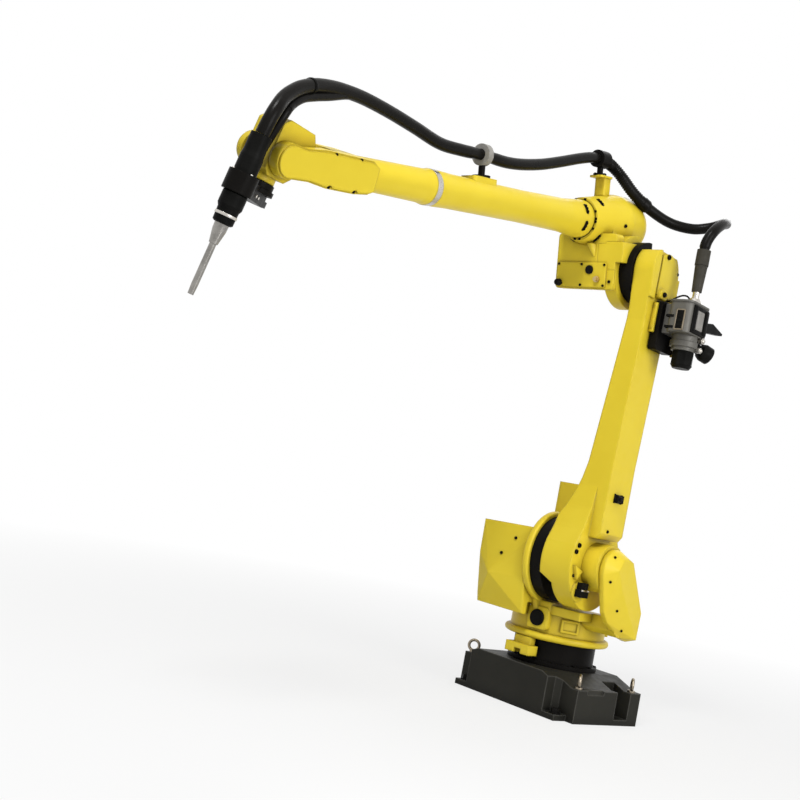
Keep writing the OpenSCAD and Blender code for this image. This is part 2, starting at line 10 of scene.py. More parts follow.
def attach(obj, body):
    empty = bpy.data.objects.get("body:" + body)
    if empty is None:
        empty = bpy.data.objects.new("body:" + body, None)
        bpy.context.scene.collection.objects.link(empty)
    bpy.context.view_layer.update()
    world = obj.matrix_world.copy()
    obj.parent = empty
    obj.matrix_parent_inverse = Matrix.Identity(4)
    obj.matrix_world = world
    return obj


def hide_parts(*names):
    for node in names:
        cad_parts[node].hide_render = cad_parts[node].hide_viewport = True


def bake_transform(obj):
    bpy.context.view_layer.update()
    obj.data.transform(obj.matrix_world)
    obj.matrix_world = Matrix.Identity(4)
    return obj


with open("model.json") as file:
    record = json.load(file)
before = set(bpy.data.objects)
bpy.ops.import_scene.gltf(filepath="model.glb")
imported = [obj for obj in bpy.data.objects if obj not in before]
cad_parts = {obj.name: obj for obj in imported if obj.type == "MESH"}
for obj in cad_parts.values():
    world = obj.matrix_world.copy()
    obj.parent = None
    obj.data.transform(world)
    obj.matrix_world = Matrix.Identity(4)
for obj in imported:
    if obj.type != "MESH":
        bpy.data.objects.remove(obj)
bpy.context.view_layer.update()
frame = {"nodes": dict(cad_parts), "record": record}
nodes = frame["nodes"]

# Lengths of the arm, in millimetres
MM = 0.001
SHOULDER_OUT = 165
SHOULDER_HEIGHT = 580
ARM_LENGTH = 1150
ELBOW_UP = 190
WRIST_OUT = 1800
TORCH_OFFSET = 160

# Angles of the pose as built, in degrees
TURRET_TURN = 11
ARM_LEAN = -1
FOREARM_DIP = 10
FOREARM_ROLL = 15
WRIST_BEND = 76
TORCH_SWING = 34

# Dress hose, second lead and feeder cable, in millimetres: radii, stations along the forearm, and points
# of the routes in the frame of the forearm (front, lead), the shoulder (rear, cable) or the torch (lead end)
HOSE_R = 21
HELD_R = 19
LEAD_R = 14
SADDLE_X = 80
RING_CLAMP_X = 825
TIE_X = 1722
ROUTE_STEPS = 8
FRONT_ROUTE = [
    (50, 0, 246), (80, 0, 246), (112, 0, 246), (160, 0, 241), (240, 0, 224), (360, 0, 194), (480, 0, 167),
    (600, 0, 149), (700, 0, 143), (812, 0, 148), (838, 0, 148), (940, 0, 146), (1059, 0, 150),
    (1198, 8, 178), (1332, 18, 202), (1463, 32, 218), (1565, 46, 221), (1640, 58, 217), (1712, 71, 206),
    (1782, 85, 184), (1846, 100, 148), (1888, 113, 108), (1911, 112, 70), (1923, 101, 31)]
REAR_ROUTE = [
    (124, 1, 1566), (80, 7, 1560), (44, 30, 1533), (13, 82, 1472), (-62, 122, 1430), (-150, 172, 1402),
    (-211, 240, 1396), (-244, 300, 1411), (-243, 350, 1424), (-208, 385, 1416), (-131, 410, 1389),
    (-62, 418, 1340), (-40, 408, 1290), (-40, 405, 1240), (-40, 405, 1150)]
LEAD_ROUTE = [
    (1520, 40, 216), (1560, 45, 210), (1600, 51, 200), (1640, 57, 190), (1700, 66, 177), (1758, 76, 161),
    (1806, 86, 134), (1840, 92, 98)]
LEAD_END = [(-8, 0, -70), (50, 0, -64), (92, 0, -62), (110, 0, -62)]
CABLE_ROUTE = [
    (-45, 278, 1052), (-45, 298, 1058), (-46, 322, 1072), (-46, 348, 1081), (-45, 370, 1077),
    (-43, 386, 1058)]

# Stretches of the forearm where hose and lead pass from one body's motion to the next
ROLL_SPAN = (Vector((900, 0, 0)), Vector((1400, 0, 0)))
BEND_SPAN = (Vector((1700, 0, 0)), Vector((1850, 0, 0)))
LEAD_SPAN = (Vector((1690, 0, 0)), Vector((1826, 0, 0)))

# Faces of the wire feeder and the window in its front, in millimetres
FEEDER_SIDE = 446
FEEDER_FRONT = 55
WINDOW_Y = (391, 429)
WINDOW_Z = (926, 1006)

# Fineness of the meshes
SCREW_SIDES = 12
TUBE_SIDES = 24
SHARP_DEGREES = 35
TUBE_SHARP_DEGREES = 60


def turn(axis, degrees):
    return Matrix.Rotation(math.radians(degrees), 4, axis)


def shift(x, y, z):
    """Move from one body's frame to the next, from millimetres to metres."""
    return Matrix.Translation(Vector((x, y, z)) * MM)


# Frames of the bodies as built
FLOOR = Matrix.Identity(4)
TURRET = turn("Z", TURRET_TURN)
SHOULDER = TURRET @ shift(SHOULDER_OUT, 0, SHOULDER_HEIGHT) @ turn("Y", ARM_LEAN)
ELBOW = SHOULDER @ shift(0, 0, ARM_LENGTH) @ turn("Y", FOREARM_DIP - ARM_LEAN)
FOREARM = ELBOW @ shift(0, 0, ELBOW_UP)
FORK = FOREARM @ turn("X", -FOREARM_ROLL)
WRIST = FORK @ shift(WRIST_OUT, 0, 0) @ turn("Y", WRIST_BEND)
TORCH = WRIST @ turn("X", -TORCH_SWING) @ shift(0, 0, TORCH_OFFSET)

# Directions in a body's frame, and turns that bring a fitting's Z axis to them
FORWARD = (1, 0, 0)
LEFTWARD = (0, 1, 0)
TO_FRONT = turn("Y", 90)
TO_BACK = turn("Y", -90)
TO_LEFT = turn("X", -90)


# Camera at the photograph's viewpoint
def make_camera():
    place = Vector((3.568, 3.341, 0.759))
    yaw, pitch, roll = (math.radians(angle) for angle in (-127.54, 3.82, 10.95))
    focal_px = 1193
    image_px = 800
    ahead = Vector((math.cos(pitch) * math.cos(yaw), math.cos(pitch) * math.sin(yaw), math.sin(pitch)))
    level_right = ahead.cross(Vector((0, 0, 1))).normalized()
    level_up = level_right.cross(ahead)
    right = math.cos(roll) * level_right + math.sin(roll) * level_up
    up = math.cos(roll) * level_up - math.sin(roll) * level_right
    data = bpy.data.cameras.new("camera")
    data.sensor_width = 36
    data.lens = focal_px * data.sensor_width / image_px
    camera = bpy.data.objects.new("camera", data)
    axes = Matrix((right, up, -ahead)).transposed().to_4x4()
    camera.matrix_world = Matrix.Translation(place) @ axes
    bpy.context.scene.collection.objects.link(camera)
    bpy.context.scene.camera = camera


# Node materials
class Paint:
    """A principled material with short calls for its nodes."""

    crease_samples = 8
    edge_samples = 6
    # Sockets of a Mix node that take and give colours
    first_color, second_color, mixed_color = 6, 7, 2

    def __init__(self, name, **values):
        self.material = bpy.data.materials.new(name)
        self.material.use_nodes = True
        self.tree = self.material.node_tree
        self.shader = self.tree.nodes["Principled BSDF"]
        for socket, value in values.items():
            self.shader.inputs[socket.replace("_", " ")].default_value = value

    def node(self, kind, **settings):
        made = self.tree.nodes.new("ShaderNode" + kind)
        for key, value in settings.items():
            if key in made.inputs:
                made.inputs[key].default_value = value
            else:
                setattr(made, key, value)
        return made

    def link(self, source, target):
        self.tree.links.new(source, target)

    def noise(self, scale, detail=3.0, roughness=0.6):
        place = self.node("TexCoord")
        texture = self.node("TexNoise", Scale=scale, Detail=detail, Roughness=roughness)
        self.link(place.outputs["Object"], texture.inputs["Vector"])
        return texture.outputs["Fac"]

    def ramp(self, source, low=0.0, high=1.0, start=0.3, end=0.7):
        ramp = self.node("MapRange")
        ramp.inputs["From Min"].default_value = start
        ramp.inputs["From Max"].default_value = end
        ramp.inputs["To Min"].default_value = low
        ramp.inputs["To Max"].default_value = high
        self.link(source, ramp.inputs["Value"])
        return ramp.outputs["Result"]

    def mix(self, factor, first, second):
        mixer = self.node("Mix", data_type="RGBA")
        self.link(factor, mixer.inputs["Factor"])
        for value, index in ((first, self.first_color), (second, self.second_color)):
            socket = mixer.inputs[index]
            if isinstance(value, bpy.types.NodeSocket):
                self.link(value, socket)
            else:
                socket.default_value = (*value, 1)
        return mixer.outputs[self.mixed_color]

    def crease(self, distance):
        """Ambient occlusion, used as the mask of painted shade: 0 deep in a corner and 1 in the open."""
        shade = self.node("AmbientOcclusion", Distance=distance, samples=self.crease_samples)
        return shade.outputs["AO"]

    def edges(self, radius):
        """0 on flats and 1 where an edge turns within a radius."""
        at_edge, at_flat = 0.86, 0.99
        rounded = self.node("Bevel", Radius=radius, samples=self.edge_samples)
        flat = self.node("NewGeometry")
        meet = self.node("VectorMath", operation="DOT_PRODUCT")
        self.link(rounded.outputs["Normal"], meet.inputs[0])
        self.link(flat.outputs["Normal"], meet.inputs[1])
        return self.ramp(meet.outputs["Value"], low=1.0, high=0.0, start=at_edge, end=at_flat)

    def color(self, source):
        self.link(source, self.shader.inputs["Base Color"])

    def roughness(self, source):
        self.link(source, self.shader.inputs["Roughness"])

    def bump(self, source, strength, distance, edge=0.0):
        bump = self.node("Bump", Strength=strength, Distance=distance)
        self.link(source, bump.inputs["Height"])
        if edge:
            round_edge = self.node("Bevel", Radius=edge, samples=self.edge_samples)
            self.link(round_edge.outputs["Normal"], bump.inputs["Normal"])
        self.link(bump.outputs["Normal"], self.shader.inputs["Normal"])


def painted(name, clean, worn, crease_shade, rough, edge, sheen, rubbed=None):
    """Enamel on a casting: cloudy tone, painted shade in creases and, where asked, paint rubbed off the
    edges.
    """
    paint = Paint(name, Specular_IOR_Level=sheen)
    tone = paint.mix(paint.ramp(paint.noise(scale=3.5, detail=4.0)), clean, worn)
    if rubbed:
        tone = paint.mix(paint.edges(radius=0.008), tone, rubbed)
    # Painted shade: the colour darkens towards a dark tone where ambient occlusion finds corners and
    # creases.
    painted_crease_shade = paint.ramp(paint.crease(distance=0.05), low=0.65, high=0.0, start=0.35, end=0.95)
    paint.color(paint.mix(painted_crease_shade, tone, crease_shade))
    paint.roughness(paint.ramp(paint.noise(scale=40.0), low=rough - 0.07, high=rough + 0.08))
    paint.bump(paint.noise(scale=260.0, detail=2.0), strength=0.06, distance=0.002, edge=edge)
    return paint.material


def metal(name, color, rough, edge, metallic=1.0, dull=0.85):
    """Bare metal in two tones, with fine grain."""
    paint = Paint(name, Metallic=metallic)
    dark = tuple(dull * part for part in color)
    paint.color(paint.mix(paint.ramp(paint.noise(scale=35.0, detail=5.0)), color, dark))
    paint.roughness(paint.ramp(paint.noise(scale=90.0, detail=4.0), low=rough - 0.06, high=rough + 0.08))
    paint.bump(paint.noise(scale=300.0, detail=2.0), strength=0.02, distance=0.001, edge=edge)
    return paint.material


def moulded(name, color, rough, edge, sheen):
    """Plastic or rubber with a thin veil of dust."""
    dust_gain, dust_floor = 1.4, 0.004
    paint = Paint(name, Specular_IOR_Level=sheen)
    dusty = tuple(dust_gain * part + dust_floor for part in color)
    paint.color(paint.mix(paint.ramp(paint.noise(scale=14.0, detail=5.0)), color, dusty))
    paint.roughness(paint.ramp(paint.noise(scale=60.0), low=rough - 0.08, high=rough + 0.1))
    paint.bump(paint.noise(scale=700.0, detail=2.0), strength=0.10, distance=0.001, edge=edge)
    return paint.material


def hose_rubber(name):
    """Black jacket with faint streaks along it, read from the hose's own length map."""
    clean = (0.004, 0.0037, 0.003)
    streaked = (0.009, 0.008, 0.007)
    paint = Paint(name, Specular_IOR_Level=0.08)
    length_map = paint.node("UVMap", uv_map="length_map")
    pull = paint.node("Mapping")
    pull.inputs["Scale"].default_value = (9.0, 1.5, 1.0)
    streaks = paint.node("TexNoise", Scale=4.0, Detail=4.0)
    paint.link(length_map.outputs["UV"], pull.inputs["Vector"])
    paint.link(pull.outputs["Vector"], streaks.inputs["Vector"])
    paint.color(paint.mix(paint.ramp(streaks.outputs["Fac"]), clean, streaked))
    paint.roughness(paint.ramp(paint.noise(scale=30.0), low=0.26, high=0.38))
    paint.bump(paint.noise(scale=500.0, detail=2.0), strength=0.08, distance=0.001)
    return paint.material


# The third colour of each enamel is the dark tone of painted shade in its creases.
YELLOW = painted(
    "yellow_enamel", clean=(0.83, 0.645, 0.040), worn=(0.79, 0.595, 0.030), crease_shade=(0.15, 0.095, 0.004),
    rough=0.38, edge=0.010, sheen=0.24)
CHARCOAL = painted(
    "charcoal_enamel", clean=(0.020, 0.0195, 0.016), worn=(0.028, 0.027, 0.022), crease_shade=(0.007, 0.007, 0.006),
    rough=0.44, edge=0.006, sheen=0.08, rubbed=(0.095, 0.092, 0.083))
BLACK_METAL = painted(
    "black_oxide", clean=(0.006, 0.0055, 0.005), worn=(0.011, 0.010, 0.009), crease_shade=(0.002, 0.002, 0.002),
    rough=0.34, edge=0.003, sheen=0.03)
STEEL = metal("machined_steel", (0.62, 0.59, 0.54), rough=0.28, edge=0.001)
WORN_STEEL = metal("worn_steel", (0.34, 0.29, 0.22), rough=0.34, edge=0.001, dull=0.6)
TORCH_STEEL = metal("torch_steel", (0.36, 0.345, 0.32), rough=0.22, edge=0.001, dull=0.6)
BRASS = metal("brass_fitting", (0.62, 0.47, 0.22), rough=0.35, edge=0.001)
CAST_GREY = metal("grey_casting", (0.125, 0.12, 0.105), rough=0.5, edge=0.004, metallic=0.25)
GREY_PLASTIC = moulded("grey_moulding", (0.24, 0.23, 0.21), rough=0.5, edge=0.002, sheen=0.35)
BLACK_PLASTIC = moulded("black_moulding", (0.005, 0.005, 0.0045), rough=0.36, edge=0.003, sheen=0.03)
RUBBER = moulded("black_rubber", (0.006, 0.006, 0.0055), rough=0.48, edge=0.002, sheen=0.03)
DUSTY_RUBBER = moulded("dusty_rubber", (0.038, 0.035, 0.028), rough=0.55, edge=0.002, sheen=0.10)
HOSE = hose_rubber("hose_jacket")

FINISH = {
    "yellow_paint": YELLOW, "charcoal_paint": CHARCOAL, "black_metal": BLACK_METAL, "bright_steel": STEEL,
    "brass": BRASS, "grey_plastic": GREY_PLASTIC, "grey_cast": CAST_GREY, "black_rubber": RUBBER,
    "black_plastic": BLACK_PLASTIC}
SPECIAL = {
    "lifting_eyes": WORN_STEEL, "torch_neck": TORCH_STEEL, "torch_nozzle": TORCH_STEEL,
    "hose_sleeve": DUSTY_RUBBER}


def finish_nodes():
    """Gives each solid of the frame the material of its slot, or its own."""
    for part in frame["record"]["subparts"]:
        mesh = nodes[part["node"]].data
        mesh.materials.clear()
        mesh.materials.append(SPECIAL.get(part["node"], FINISH[part["material_slot"]]))


# Mesh helpers, drawn in millimetres in a body's frame
def piece(name, body, bm, place, slot, material=None, sharp=SHARP_DEGREES):
    """A mesh becomes a piece, which rides on a body when one is given."""
    bm.transform(place @ Matrix.Scale(MM, 4))
    bmesh.ops.recalc_face_normals(bm, faces=bm.faces)
    mesh = bpy.data.meshes.new(name)
    bm.to_mesh(mesh)
    bm.free()
    mesh.materials.append(material or FINISH[slot])
    mesh.polygons.foreach_set("use_smooth", [True] * len(mesh.polygons))
    mesh.set_sharp_from_angle(angle=math.radians(sharp))
    made = bpy.data.objects.new(name, mesh)
    bpy.context.scene.collection.objects.link(made)
    if body:
        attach(made, body)
    return made


def spot(x, y, z):
    """Move in a body's frame, in millimetres."""
    return Matrix.Translation((x, y, z))


def stand(point, normal):
    """Frame at a point with its Z axis along a normal."""
    return Matrix.Translation(point) @ Vector(normal).to_track_quat("Z", "Y").to_matrix().to_4x4()


def surface(node):
    """Search tree of a node's faces, in metres."""
    mesh = nodes[node].data
    world = nodes[node].matrix_world
    return BVHTree.FromPolygons([world @ vert.co for vert in mesh.vertices],
                                [face.vertices[:] for face in mesh.polygons])


def seat(node, place, point, outward):
    """Frame on a node where a line through a point, coming in from outside, first meets it."""
    reach = 60
    start = Vector(point) + reach * Vector(outward).normalized()
    found, normal, _, _ = surface(node).ray_cast(place @ (start * MM), place.to_3x3() @ -Vector(outward))
    back = place.inverted()
    return stand(back @ found / MM, back.to_3x3() @ normal)


def ring(bm, at, radius, height, sides, flats=False):
    """Points round a frame's Z axis; with flats, twelve points that draw a hexagon."""
    step = 2 * math.pi / sides
    middle_of_flat = math.cos(math.pi / 6)
    made = []
    for k in range(sides):
        reach = radius * (middle_of_flat if flats and k % 2 else 1)
        point = Vector((reach * math.cos(k * step), reach * math.sin(k * step), height))
        made.append(bm.verts.new(at @ point))
    return made


def skin(bm, rings, loop=False):
    """Closed skin through rings of points, with end faces or, as a loop, back to the first ring."""
    pairs = list(zip(rings, rings[1:]))
    if loop:
        pairs.append((rings[-1], rings[0]))
    for first, second in pairs:
        for k in range(len(first)):
            n = (k + 1) % len(first)
            bm.faces.new((first[k], first[n], second[n], second[k]))
    if not loop:
        bm.faces.new(list(reversed(rings[0])))
        bm.faces.new(rings[-1])


def lathe(bm, at, profile, sides=32, loop=False):
    """Turned shape through (radius, height) pairs."""
    skin(bm, [ring(bm, at, radius, height, sides) for radius, height in profile], loop)


def soften(bm, edges, offset):
    """Round edges in two facets."""
    bmesh.ops.bevel(bm, geom=edges, offset=offset, segments=2, profile=0.5, affect="EDGES")


def slab(bm, low, high, edge, at=Matrix.Identity(4)):
    """Block between two corners with rounded edges."""
    low, high = Vector(low), Vector(high)
    middle = (low + high) / 2
    verts = bmesh.ops.create_cube(bm, size=1)["verts"]
    for vert in verts:
        vert.co = at @ (middle + Vector(span * part for span, part in zip(high - low, vert.co)))
    soften(bm, list({rim for vert in verts for rim in vert.link_edges}), edge)


def plate(bm, at, half_x, half_y, low, high, edge):
    """Block centred on a frame's Z axis, with rounded edges."""
    slab(bm, (-half_x, -half_y, low), (half_x, half_y, high), edge, at)


# Screws and bolts
def screw(bm, at, radius):
    """Cap screw: chamfered round head with a hexagon socket."""
    sunk = 1
    height = 0.8 * radius
    chamfer_foot = 0.75 * height
    top_r = 0.84 * radius
    socket_r = 0.55 * radius
    socket_floor = 0.35 * height
    head = [(radius, -sunk), (radius, chamfer_foot), (top_r, height)]
    rings = [ring(bm, at, reach, up, SCREW_SIDES) for reach, up in head]
    rings += [ring(bm, at, socket_r, up, SCREW_SIDES, flats=True) for up in (height, socket_floor)]
    skin(bm, rings)


def anchor(bm, at):
    """Hexagon bolt head on a washer."""
    washer_r = 21
    washer_h = 4
    washer_edge = 1
    head_r = 17
    head_h = 15
    top_r = 0.82 * head_r
    top = washer_h + head_h
    chamfer = 3
    washer = [(washer_r, 0), (washer_r, washer_h - washer_edge), (washer_r - washer_edge, washer_h),
              (head_r, washer_h)]
    lathe(bm, at, washer, sides=24)
    flanks = (washer_h - washer_edge, top - chamfer)
    rings = [ring(bm, at, head_r, up, SCREW_SIDES, flats=True) for up in flanks]
    rings += [ring(bm, at, top_r, top, SCREW_SIDES)]
    skin(bm, rings)


def hex_nut(bm, at, radius):
    """Screw end standing out of a casting, with a nut and a chamfered tip."""
    sunk = 4
    shaft = 0.55 * radius
    low, high = radius, 2.2 * radius
    tip = high + 0.4 * radius
    tip_edge = 2
    chamfer = 1.5
    chamfer_r = 0.84 * radius
    lathe(bm, at, [(shaft, -sunk), (shaft, tip - tip_edge), (shaft - tip_edge, tip)], sides=16)
    rings = [ring(bm, at, chamfer_r, low - chamfer, SCREW_SIDES)]
    rings += [ring(bm, at, radius, up, SCREW_SIDES, flats=True) for up in (low, high - chamfer)]
    rings += [ring(bm, at, chamfer_r, high, SCREW_SIDES)]
    skin(bm, rings)


def seated(node, place, points, outward, radius):
    """Screw heads of one radius, seated on a node."""
    return [(seat(node, place, point, outward), radius) for point in points]


def screws(name, body, place, heads, slot="black_metal"):
    """One piece of screws from (frame, radius) pairs."""
    bm = bmesh.new()
    for at, radius in heads:
        screw(bm, at, radius)
    return piece(name, body, bm, place, slot)


def make_anchor_bolts():
    """Floor bolts in the holes that the record gives."""
    foot_h = 22
    holes = next(mount for mount in frame["record"]["mounts"] if mount["name"] == "anchor_holes")
    middle_x = round(holes["pos_m"][0] / MM)
    half_x = holes["dims"]["spacing_x_mm"] / 2
    half_y = holes["dims"]["spacing_y_mm"] / 2
    bm = bmesh.new()
    for x in (middle_x + half_x, middle_x - half_x):
        for y in (-half_y, half_y):
            anchor(bm, spot(x, y, foot_h))
    piece("anchor_bolts", "base", bm, FLOOR, "black_metal")


def make_column_screws():
    count = 12
    pitch = 360 / count
    screw_r = 6
    ring_r = 170
    base_z = 180
    around = [turn("Z", pitch / 2 + pitch * k) for k in range(count)]
    heads = [(angle @ spot(ring_r, 0, base_z), screw_r) for angle in around]
    screws("column_screws", "base", FLOOR, heads)


def make_turret_screws():
    motor = [(320, -59, 629), (320, -108, 562)]
    bridge = [(205, 320, 632), (212, 322, 540), (136, 327, 436), (74, 325, 362)]
    bridge_outward = (0.4, 0.9, -0.1)
    heads = seated("axis2_motor_cover", TURRET, motor, FORWARD, radius=6)
    heads += seated("cable_bridge", TURRET, bridge, bridge_outward, radius=5)
    screws("turret_screws", "turret", TURRET, heads)


def make_boss_web():
    """Flat web at the turret's front boss, with a narrower step under it."""
    edge = 2
    bm = bmesh.new()
    slab(bm, (102, -22, 386), (196, 3, 395.5), edge)
    slab(bm, (106, -18, 383), (192, -1, 389), edge)
    piece("boss_web", "turret", bm, TURRET, "yellow_paint")


def make_arm_screws():
    small = [(137, 215, -45), (35, 263, 139), (-92, 281, 1174)]
    large = [(135, 215, 69), (148, 215, 44)]
    cover = [(14, 291, 1213), (17, 303, 1065)]
    heads = seated("lower_arm", SHOULDER, small, LEFTWARD, radius=6)
    heads += seated("lower_arm", SHOULDER, large, LEFTWARD, radius=9)
    heads += seated("elbow_cover", SHOULDER, cover, LEFTWARD, radius=10)
    screws("arm_screws", "arm", SHOULDER, heads)


def make_elbow_screws():
    """Screws round the tube's root, on the box's panel and on the elbow's castings."""
    small_r = 5
    root_x = 199
    root_ring = 78
    panel_front = 156
    heads = [(turn("X", -side * angle) @ spot(root_x, 0, root_ring) @ TO_FRONT, small_r)
             for angle in (16, 69, 90, 98, 119, 172) for side in (-1, 1)]
    heads += [(spot(panel_front, y, z) @ TO_FRONT, small_r) for y in (-103, 2, 105) for z in (-171, -251)]
    heads += seated("elbow_housing", FOREARM, [(39, 111, -10)], LEFTWARD, radius=7)
    heads += seated("elbow_box", FOREARM, [(150, 128, -235)], FORWARD, radius=6)
    screws("elbow_screws", "elbow", FOREARM, heads)


def make_saddle_screws():
    screw_r = 4
    post_top = 190
    screw_ring = 19
    reach = 0.7 * screw_ring
    corners = [(x, y) for x in (-reach, reach) for y in (-reach, reach)]
    heads = [(spot(SADDLE_X + x, y, post_top), screw_r) for x, y in corners]
    screws("saddle_screws", "elbow", FOREARM, heads)


def slot_shade_pad(bm, x, angle, radius, flare):
    """Black capsule of painted shade, standing for the shade inside a bolt slot, lying on a round casting,
    bent to its curve, with three bolts in a row.
    """
    half_run = 22
    half_width = 8
    round_end = 8
    end_width = 0.6
    proud = 0.8
    sunk = 7
    steps = 12
    bolt_r = 5.5
    bolt_gap = 12
    bolt_proud = 0.6

    def on_casting(run, height):
        """Frame at a distance round the casting from the capsule's middle."""
        around = turn("X", -angle - math.degrees(run / radius))
        return around @ spot(x, 0, radius + height) @ turn("Y", flare)

    sections = []
    for k in range(-steps, steps + 1):
        run = half_run * k / steps
        over = max(0.0, abs(run) - (half_run - round_end)) / round_end
        width = max(half_width * math.sqrt(max(0.0, 1 - over * over)), end_width)
        corners = ((-width, 0, -sunk), (-width, 0, proud), (width, 0, proud), (width, 0, -sunk))
        at = on_casting(run, 0)
        sections.append([bm.verts.new(at @ Vector(corner)) for corner in corners])
    skin(bm, sections)
    for run in (-bolt_gap, 0, bolt_gap):
        screw(bm, on_casting(run, bolt_proud), bolt_r)


def make_slot_shade_and_bolts():
    """Bolt slots of the barrel and of the tube's root, filled with black capsules as painted shade, and the
    dark seam between the two.
    """
    seam_inner, seam_outer = 72, 74.6
    seam_back, seam_front = 199.5, 202
    bm = bmesh.new()
    # Painted shade: black capsules stand for the shade inside the slots.
    for angle in (40, 140, 220, 320):
        slot_shade_pad(bm, x=150, angle=angle, radius=91.7, flare=10)
    for angle in (62, 118, 242, 298):
        slot_shade_pad(bm, x=246, angle=angle, radius=71, flare=5)
    seam = [(seam_inner, seam_back), (seam_outer, seam_back),
            (seam_outer, seam_front), (seam_inner, seam_front)]
    lathe(bm, TO_FRONT, seam, sides=64, loop=True)
    piece("slot_shade_and_bolts", "elbow", bm, FOREARM, "black_metal")


def make_prong_screws():
    heads = []
    for side, face in ((1, 98), (-1, 84)):
        points = [(x, side * face, z) for x in (1534, 1640) for z in (-50, 46.5)]
        heads += seated("forearm_fork", FORK, points, (0, side, 0), radius=5)
    screws("prong_screws", "forearm", FORK, heads)


def make_torch_band():
    """Bright band round the torch body, with chamfered edges."""
    inner_r = 29
    outer_r = 33
    edge_r = outer_r - 0.5
    start, end = 212, 220
    chamfer = 1
    profile = [(inner_r, start), (edge_r, start), (outer_r, start + chamfer),
               (outer_r, end - chamfer), (edge_r, end), (inner_r, end)]
    bm = bmesh.new()
    lathe(bm, Matrix.Identity(4), profile, sides=40, loop=True)
    piece("torch_band", "tool", bm, TORCH @ TO_FRONT, "bright_steel")


def make_bracket_screws():
    """Screws on the back of the torch's clamp and on the bracket's side."""
    clamp_screw_r = 4
    clamp_back = 92
    clamp_ring = 38.8
    side = [(130, 28, -100), (130, 28, -130)]
    heads = [(turn("X", angle) @ spot(clamp_back, 0, clamp_ring) @ TO_BACK, clamp_screw_r)
             for angle in (45, 135, 225, 315)]
    heads += seated("torch_bracket", TORCH, side, LEFTWARD, radius=5)
    screws("bracket_screws", "tool", TORCH, heads, "bright_steel")


# Electrical and feeder fittings on the lower arm
def make_arm_socket():
    """Square connector on the lower arm: flange, shell and round cap."""
    at = seat("lower_arm", SHOULDER, (8, 263, 268), LEFTWARD)
    cap = [(9, 12), (9, 19), (7, 21)]
    bm = bmesh.new()
    plate(bm, at, half_x=26, half_y=16, low=-2, high=5, edge=2)
    plate(bm, at, half_x=20, half_y=12, low=3, high=14, edge=3)
    lathe(bm, at, cap, sides=20)
    piece("arm_socket", "arm", bm, SHOULDER, "black_plastic")


def make_connector_clip():
    """Bright bar on the hub's connector with a screw near each end."""
    low_x, high_x = 60, 112
    low_z, high_z = -97, -90
    back, front = 246, 250
    inset = 6
    bm = bmesh.new()
    slab(bm, (low_x, back, low_z), (high_x, front, high_z), edge=1.5)
    for x in (low_x + inset, high_x - inset):
        screw(bm, spot(x, front, (low_z + high_z) / 2) @ TO_LEFT, radius=3)
    piece("connector_clip", "arm", bm, SHOULDER, "bright_steel")


def make_feeder_frame():
    """Worn steel rim round the feeder's window."""
    (y0, y1), (z0, z1) = WINDOW_Y, WINDOW_Z
    rim = 5
    back, front = FEEDER_FRONT - 1, FEEDER_FRONT + 4
    bars = [((y0, z0), (y1, z0 + rim)), ((y0, z1 - rim), (y1, z1)),
            ((y0, z0), (y0 + rim, z1)), ((y1 - rim, z0), (y1, z1))]
    bm = bmesh.new()
    for low, high in bars:
        slab(bm, (back, *low), (front, *high), edge=1)
    piece("feeder_frame", "arm", bm, SHOULDER, "bright_steel", WORN_STEEL)


def make_feeder_window():
    """Dark pane inside the rim, with three raised bars."""
    (y0, y1), (z0, z1) = WINDOW_Y, WINDOW_Z
    pane_inset = 4
    pane_back, pane_front = FEEDER_FRONT - 1, FEEDER_FRONT + 2
    bar_inset = 8
    bar_height = 7
    bar_front = FEEDER_FRONT + 4
    edge = 1
    bm = bmesh.new()
    slab(bm, (pane_back, y0 + pane_inset, z0 + pane_inset),
         (pane_front, y1 - pane_inset, z1 - pane_inset), edge)
    for z in (940, 956, 972):
        slab(bm, (FEEDER_FRONT, y0 + bar_inset, z), (bar_front, y1 - bar_inset, z + bar_height), edge)
    piece("feeder_window", "arm", bm, SHOULDER, "black_plastic")


def make_feeder_cover():
    """Side cover with two raised ribs, and two dark bars on the feeder's front."""
    low_x, high_x = -82, 32
    low_z, high_z = 926, 1031
    inset = 6
    edge = 3
    cover_back, cover_face = FEEDER_SIDE - 1, FEEDER_SIDE + 7
    rib_back, rib_face = FEEDER_SIDE + 4, FEEDER_SIDE + 12
    bar_root = 350
    bar_height = 10
    bar_back, bar_front = FEEDER_FRONT - 22, FEEDER_FRONT + 3
    bm = bmesh.new()
    slab(bm, (low_x, cover_back, low_z), (high_x, cover_face, high_z), edge)
    for start, end in ((low_x + inset, -54), (16, high_x - inset)):
        slab(bm, (start, rib_back, low_z + inset), (end, rib_face, high_z - inset), edge)
    for tip, z in ((383, 974), (386, 932)):
        slab(bm, (bar_back, bar_root, z), (bar_front, tip, z + bar_height), edge=2)
    piece("feeder_cover", "arm", bm, SHOULDER, "black_plastic")


def make_feeder_plain_plate():
    """Bare plate on the side cover with a screw near its foot and its head."""
    low_x, high_x = -42, 8
    low_z, high_z = 942, 1014
    back, face = FEEDER_SIDE + 5, FEEDER_SIDE + 10
    inset = 6
    bm = bmesh.new()
    slab(bm, (low_x, back, low_z), (high_x, face, high_z), edge=2)
    for z in (low_z + inset, high_z - inset):
        screw(bm, spot((low_x + high_x) / 2, face, z) @ TO_LEFT, radius=3)
    piece("feeder_plain_plate", "arm", bm, SHOULDER, "grey_plastic")


def make_feeder_tension_screws():
    bm = bmesh.new()
    for point, radius in (((-74, 422, 914), 14), ((-60, 430, 874), 12)):
        hex_nut(bm, stand(point, LEFTWARD), radius)
    piece("feeder_tension_screws", "arm", bm, SHOULDER, "bright_steel")


